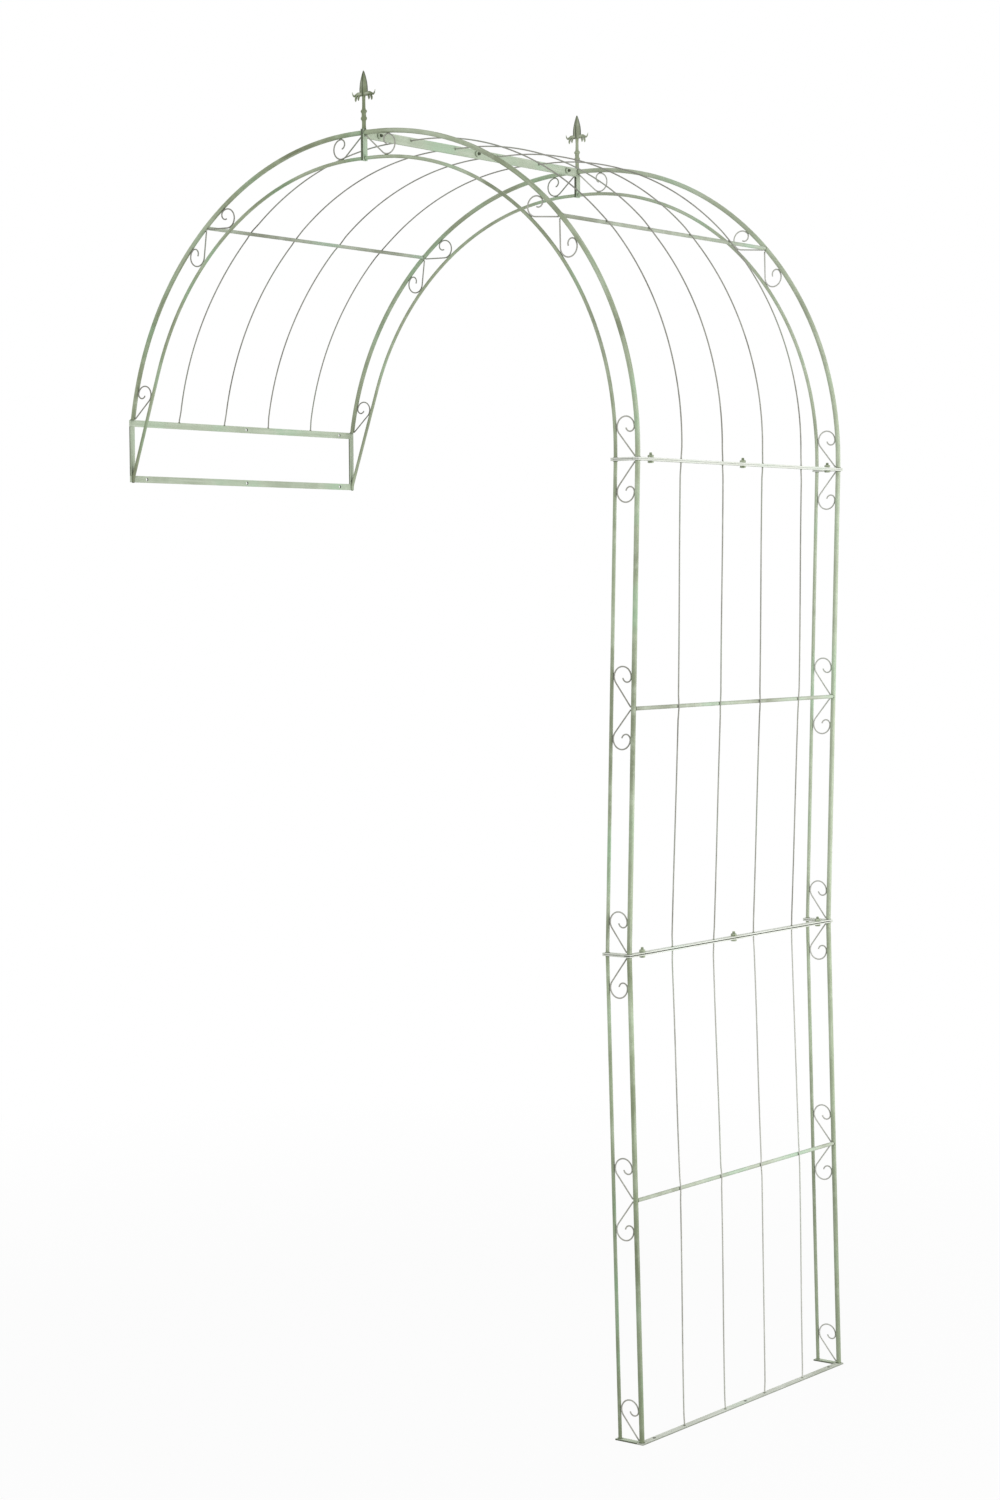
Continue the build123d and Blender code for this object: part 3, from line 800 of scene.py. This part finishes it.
def add_welds(section, draw):
    """The welds of a section, as one piece."""
    bars = [surface_tree(name) for name in SECTION_BARS[section]]
    outer = {side: surface_tree(f"{section}_{side}_outer_tube") for side in SIDES}
    inner = {side: surface_tree(f"{section}_{side}_inner_tube") for side in SIDES}
    points = wire_crossings(section)
    points += weld_points(f"{section}_wires", bars)
    points += weld_points(f"{section}_crossbar", outer.values())
    for side in SIDES:
        points += weld_points(f"{section}_{side}_scrolls", [outer[side], inner[side]])
        points += weld_points(f"{section}_{side}_outer_tube", bars)
        points += weld_points(f"{section}_{side}_inner_tube", bars)
    bm = bmesh.new()
    for point in points:
        size = draw.uniform(*WELD_LUMP)
        bmesh.ops.create_icosphere(bm, subdivisions=2, radius=size, matrix=Matrix.Translation(point))
    piece = new_piece(f"{section}_welds", bm, weld_paint)
    skin = piece.modifiers.new("skin", "REMESH")
    skin.mode = "VOXEL"
    skin.voxel_size = WELD_VOXEL
    skin.use_smooth_shade = True
    apply_modifiers(piece)


# Bolts and nuts
BOLT_RADIUS = 3 * MM
THREAD_PITCH = 1.0 * MM
THREAD_DEPTH = 0.5 * MM
THREAD_SIDES = 20
THREAD_RINGS = 6  # per turn of the thread
THREAD_TIP = 0.72  # share of its radius that a shank has at its end
HEAD_HEIGHT = 4 * MM
HEX_FLAT = 5 * MM  # half the width across the flats
HEX_CHAMFER = 0.8 * MM
HEX_TURNED_IN = 0.35 * HEX_CHAMFER  # how far the rims of a hexagon's ends are inside it
HEX_SIDES = 6
HEX_FINE = 4  # points along each side of a hexagon
HEX_SHARP_ANGLE = 30.0
ALONG_X = Matrix(((0, 0, 1), (1, 0, 0), (0, 1, 0)))  # turns a body's own Z axis to X
CROWN_FINISHES = {"bolts": dark_paint_and_rim_shade, "nuts": bar_paint}  # bolts and nuts at the crown were painted over


def hexagon_radius(angle, flat):
    """The distance from the middle to the rim of a hexagon, at an angle."""
    slice_angle = tau / HEX_SIDES
    return flat / cos((angle + slice_angle / 2) % slice_angle - slice_angle / 2)


def add_hexagon(bm, place, axes, flat, low, high, bore=0.0):
    """A hexagonal head or nut with its corners turned off, solid or with a bore."""
    sides = HEX_SIDES * HEX_FINE
    round_limit = flat / cos(pi / HEX_SIDES) - HEX_CHAMFER
    full = [hexagon_radius(tau * k / sides, flat) for k in range(sides)]
    turned = [min(radius, round_limit) - HEX_TURNED_IN for radius in full]
    levels = [(turned, low), (full, low + HEX_CHAMFER), (full, high - HEX_CHAMFER), (turned, high)]
    if bore:
        levels += [([bore] * sides, high), ([bore] * sides, low)]
    rings = [add_ring(bm, place, axes, radii, height) for radii, height in levels]
    if bore:
        rings.append(rings[0])
    join_rings(bm, rings, closed=not bore)


def add_thread(bm, place, axes, radius, low, high):
    """A threaded shank with a rounded end."""
    count = ceil((high - low) / THREAD_PITCH * THREAD_RINGS)
    rings = []
    for i in range(count + 1):
        height = low + (high - low) * i / count
        from_end = min(1.0, (high - height) / THREAD_PITCH)
        size = THREAD_TIP + (1 - THREAD_TIP) * from_end
        turns = [(height / THREAD_PITCH - k / THREAD_SIDES) % 1 for k in range(THREAD_SIDES)]
        radii = [(radius - THREAD_DEPTH * abs(2 * turn - 1)) * size for turn in turns]
        rings.append(add_ring(bm, place, axes, radii, height))
    join_rings(bm, rings)


def fasten(joint):
    """Replace a joint's bolts and nuts by threaded ones."""
    along_x = joint == "crown"
    axes = ALONG_X if along_x else UPRIGHT
    axis = 0 if along_x else 2
    for kind in ("bolts", "nuts"):
        name = f"{joint}_{kind}"
        bm = bmesh.new()
        for corners in solids(name):
            low, high = corners.min(0), corners.max(0)
            place = Vector((low + high) / 2)
            place[axis] = low[axis]
            reach = high[axis] - low[axis]
            if kind == "bolts":
                add_hexagon(bm, place, axes, HEX_FLAT, 0, HEAD_HEIGHT)
                add_thread(bm, place, axes, BOLT_RADIUS, HEAD_HEIGHT, reach)
            else:
                add_hexagon(bm, place, axes, HEX_FLAT, 0, reach, BOLT_RADIUS)
        finish = CROWN_FINISHES[kind] if along_x else fastener_finish
        new_piece(f"{name}_threaded", bm, finish, [name], HEX_SHARP_ANGLE)


# Finials
FINIAL_SIDES = 24
CAST_SHARP_ANGLE = 50.0
STEM_HEIGHT = 64 * MM
STEM_OUTLINE = [
    # height in millimetres, radius in millimetres
    (0.0, 4.5), (3.5, 4.1), (10, 3.9), (15.5, 4.1),
    (17.3, 4.9), (18.4, 5.9), (20.2, 6.4), (22.0, 6.0), (23.2, 5.1),
    (24.4, 4.6), (27.5, 4.4), (30.5, 4.6),
    (31.8, 5.1), (32.8, 6.0), (34.4, 6.4), (36.0, 5.8), (37.2, 4.7),
    (38.5, 3.8), (42, 3.4), (52, 3.2), (60, 3.4), (64, 3.8),
]
STEM_THIN = 3.2 * MM
COLLAR_TILT = 0.10  # rise of the collars across the stem, as they were cast
TILT_FULL = 0.25  # share of the stem's height over which the tilt comes in
SPEAR_RINGS = 36
SPEAR_FACES = 8  # points round the spear on each of its four hollow faces
SPEAR_OUTLINE = [
    # share of the spear's height, share of its half width
    (0.0, 0.70), (0.04, 0.84), (0.10, 0.92), (0.21, 1.0), (0.34, 0.98),
    (0.48, 0.90), (0.605, 0.76), (0.79, 0.48), (0.895, 0.28), (1.0, 0.03),
]
SPEAR_SMOOTHING = 0.03  # share of the height over which the outline is evened out
SPEAR_HALF_WIDTH = 9.7 * MM
SPEAR_HALF_THICKNESS = 4.8 * MM
SPEAR_EVEN_SHARE = 0.25  # of the thickness, what doesn't change with the width
SPEAR_TIP = 0.25  # share of the width under which the thickness runs out
SPEAR_HOLLOW = 0.86  # power of the curve round the spear: 1 is flat, less is hollow
RIM_RADIUS = 1.0 * MM  # of the beads along the spear's edges and down the middle of its sides
RIM_SIDES = 10
RIM_TOP = 0.97  # share of the spear's height where the beads end
RIM_TAPER = 0.6  # share of their radius that they lose over the spear's height
LEAVES = {
    # leaf: its middle line in millimetres, outward and up from the spear's foot, with a radius at each point
    "rising": [
        (2, 4.6, 2.3), (8, 5.6, 2.4), (15, 5.8, 2.4), (20.5, 3.4, 2.2), (24.6, 1.8, 1.9),
        (27.4, 4.6, 1.4), (29.4, 10.2, 0.5),
    ],
    "outer_hanging": [
        (4, 4.6, 2.0), (12, 4.6, 2.2), (17.6, 1.6, 2.5), (20.0, -3.0, 2.5), (20.6, -6.8, 1.9),
        (20.2, -9.4, 0.7),
    ],
    "inner_hanging": [
        (2, 4.0, 1.8), (8, 3.6, 2.0), (11.8, 0.6, 2.3), (13.4, -3.4, 2.2), (13.4, -6.0, 1.6),
        (12.8, -8.0, 0.6),
    ],
}
LEAF_SIDES = 12
LEAF_FLAT = 0.8
LEAF_STEPS = 6


def add_stem(bm, foot):
    """The turned stem, with its collars a little tilted."""
    outline = [(radius * MM, height * MM) for height, radius in STEM_OUTLINE]
    add_turned(bm, foot, outline, FINIAL_SIDES)
    for vert in bm.verts:
        swelling = hypot(vert.co.x - foot.x, vert.co.y - foot.y) - STEM_THIN
        above_foot = min(1.0, (vert.co.z - foot.z) / STEM_HEIGHT / TILT_FULL)
        vert.co.z += COLLAR_TILT * (vert.co.x - foot.x) * max(0.0, swelling) / STEM_THIN * above_foot


def spear_reach(share):
    """Half the width and half the thickness of the spear at a share of its height."""
    shares, sizes = zip(*SPEAR_OUTLINE)
    near = (share - SPEAR_SMOOTHING, share, share + SPEAR_SMOOTHING)
    size = float(np.interp(near, shares, sizes).mean())
    even = SPEAR_EVEN_SHARE + (1 - SPEAR_EVEN_SHARE) * size
    return SPEAR_HALF_WIDTH * size, SPEAR_HALF_THICKNESS * even * min(1.0, size / SPEAR_TIP)


def hollow_radius(angle):
    """The distance from the middle to the rim of a diamond with hollow sides, with its corners at 1."""
    return (abs(cos(angle)) ** SPEAR_HOLLOW + abs(sin(angle)) ** SPEAR_HOLLOW) ** (-1 / SPEAR_HOLLOW)


def add_spear(bm, place, height):
    """A blade with a ridge down the middle of each side and hollow faces."""
    sides = 4 * SPEAR_FACES
    radii = [hollow_radius(tau * k / sides) for k in range(sides)]
    rings = []
    for i in range(SPEAR_RINGS + 1):
        share = i / SPEAR_RINGS
        size = Matrix.Diagonal((*spear_reach(share), 1.0))
        rings.append(add_ring(bm, place, size, radii, height * share))
    join_rings(bm, rings)


def add_rims(bm, place, height):
    """The beads along the two edges of a spear and down the middle of its two sides."""
    shares = [RIM_TOP * i / SPEAR_RINGS for i in range(SPEAR_RINGS + 1)]
    radii = [RIM_RADIUS * (1 - RIM_TAPER * share) for share in shares]
    for x, y in ((-1, 0), (1, 0), (0, -1), (0, 1)):
        points = []
        for share in shares:
            width, thickness = spear_reach(share)
            points.append(place + Vector((x * width, y * thickness, height * share)))
        add_tube(bm, points, radii, RIM_SIDES)


def smooth_line(points, count):
    """Points along a smooth curve through the given ones."""
    route = [points[0] * 2 - points[1], *points, points[-1] * 2 - points[-2]]
    line = []
    for i in range(1, len(route) - 2):
        a, b, c, d = route[i - 1 : i + 3]
        for step in range(count):
            t = step / count
            rise = (c - a) * t
            turn = (2 * a - 5 * b + 4 * c - d) * t**2
            twist = (3 * b - a - 3 * c + d) * t**3
            line.append((2 * b + rise + turn + twist) / 2)
    line.append(points[-1])
    return line


def add_leaves(bm, place):
    """Curled leaves to both sides of the spear's foot."""
    for hand in (-1, 1):
        for leaf in LEAVES.values():
            route = [place + Vector((hand * x, 0, z)) * MM for x, z, _ in leaf]
            points = smooth_line(route, LEAF_STEPS)
            sizes = [size * MM for _, _, size in leaf]
            radii = np.interp([i / LEAF_STEPS for i in range(len(points))], range(len(leaf)), sizes)
            add_tube(bm, points, radii.tolist(), LEAF_SIDES, LEAF_FLAT)


def shape_finial(side):
    """Replace a plain finial by a cast one: turned stem, ridged spear, and leaves to both sides."""
    low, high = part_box(f"{side}_finial")
    foot = Vector(((low.x + high.x) / 2, (low.y + high.y) / 2, low.z))
    spear_foot = foot + Vector((0, 0, STEM_HEIGHT))
    spear_height = high.z - spear_foot.z
    cast = bmesh.new()
    add_stem(cast, foot)
    add_spear(cast, spear_foot, spear_height)
    add_leaves(cast, spear_foot)
    new_piece(f"{side}_finial_cast", cast, finial_paint, [f"{side}_finial"], CAST_SHARP_ANGLE)
    # the beads' dark paint is painted shade along the spear's edges and down its sides
    rims = bmesh.new()
    add_rims(rims, spear_foot, spear_height)
    new_piece(f"{side}_finial_rims", rims, dark_paint_and_rim_shade)


draw = random.Random(WEAR_SEED)
dress_frame()
round_bars()
for section in SECTIONS:
    bend_wires(section, draw)
    add_welds(section, draw)
for joint in JOINTS:
    fasten(joint)
for side in SIDES:
    shape_finial(side)

# Camera
azimuth, pitch, roll = radians(CAMERA_AZIMUTH), radians(CAMERA_PITCH), radians(CAMERA_ROLL)
forward = Vector((-sin(azimuth) * cos(pitch), cos(azimuth) * cos(pitch), sin(pitch)))
level_right = Vector((cos(azimuth), sin(azimuth), 0))
level_down = forward.cross(level_right)
right = level_right * cos(roll) - level_down * sin(roll)
up = -(level_right * sin(roll) + level_down * cos(roll))
camera_data = bpy.data.cameras.new("camera")
camera_data.sensor_width = SENSOR_MM
camera_data.lens = FOCAL_PX / IMAGE_HEIGHT_PX * SENSOR_MM
camera_data.clip_end = CAMERA_REACH
camera = bpy.data.objects.new("camera", camera_data)
bpy.context.scene.collection.objects.link(camera)
camera_axes = Matrix((right, up, -forward)).transposed()
camera.matrix_world = Matrix.Translation(CAMERA_PLACE) @ camera_axes.to_4x4()
bpy.context.scene.camera = camera

# Lamps
for name, (place, size, watts) in LAMPS.items():
    lamp_data = bpy.data.lights.new(name, "AREA")
    lamp_data.size = size
    lamp_data.energy = watts
    lamp = bpy.data.objects.new(name, lamp_data)
    lamp.location = place
    lamp.rotation_euler = (MIDDLE - Vector(place)).to_track_quat("-Z", "Y").to_euler()
    bpy.context.scene.collection.objects.link(lamp)

# World
world = bpy.data.worlds.new("studio")
world.use_nodes = True
bpy.context.scene.world = world
background = world.node_tree.nodes["Background"]
background.inputs["Color"].default_value = WHITE
level = world.node_tree.nodes.new("ShaderNodeMapRange")
level.inputs["To Min"].default_value = AMBIENT_LIGHT
level.inputs["To Max"].default_value = 1.0
world.node_tree.links.new(seen_rays(world.node_tree), level.inputs["Value"])
world.node_tree.links.new(level.outputs["Result"], background.inputs["Strength"])

# Floor
bm = bmesh.new()
bmesh.ops.create_grid(bm, x_segments=1, y_segments=1, size=FLOOR_HALF_SIZE)
floor_mesh = bpy.data.meshes.new("floor")
bm.to_mesh(floor_mesh)
bm.free()
floor_mesh.materials.append(studio_floor())
floor = bpy.data.objects.new("floor", floor_mesh)
floor.location = (MIDDLE.x, MIDDLE.y, GROUND)
bpy.context.scene.collection.objects.link(floor)

bpy.context.scene.view_settings.view_transform = "Standard"
